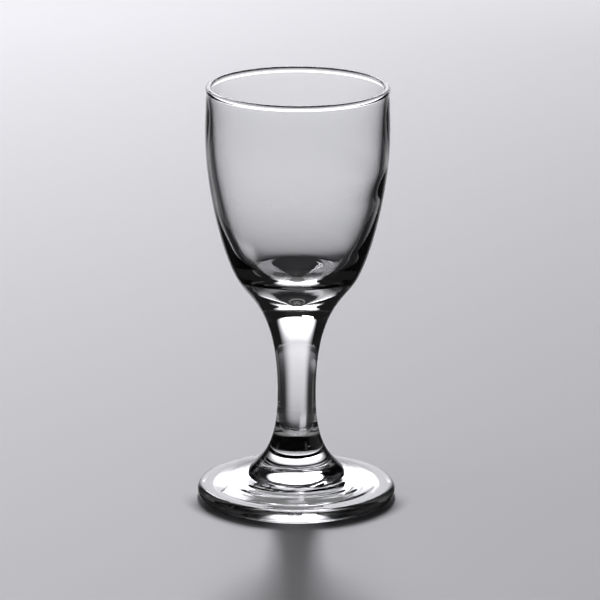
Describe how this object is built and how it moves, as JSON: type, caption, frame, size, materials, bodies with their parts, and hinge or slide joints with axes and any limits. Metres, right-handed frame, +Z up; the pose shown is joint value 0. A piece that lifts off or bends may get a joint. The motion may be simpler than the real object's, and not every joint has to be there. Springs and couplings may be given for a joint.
{
  "type": "sherry glass",
  "caption": "Clear stemmed sherry glass: egg-shaped bowl with a fine bead round the rim and a heavy dished base, solid waisted stem and round foot with a flat ring to stand on.",
  "frame": {"origin": "on the table, at the middle of the flat ring that the foot stands on", "axes": "+Z up along the axis of the glass, from the foot through the stem to the rim; X and Y lie in the table"},
  "size_m": [0.0586, 0.0586, 0.124],
  "materials": {
    "clear_glass": "colourless soda-lime glass, smooth and fire-polished"
  },
  "bodies": {
    "root": {"bowl": "clear_glass", "stem": "clear_glass", "foot": "clear_glass"}
  },
  "joints": []
}
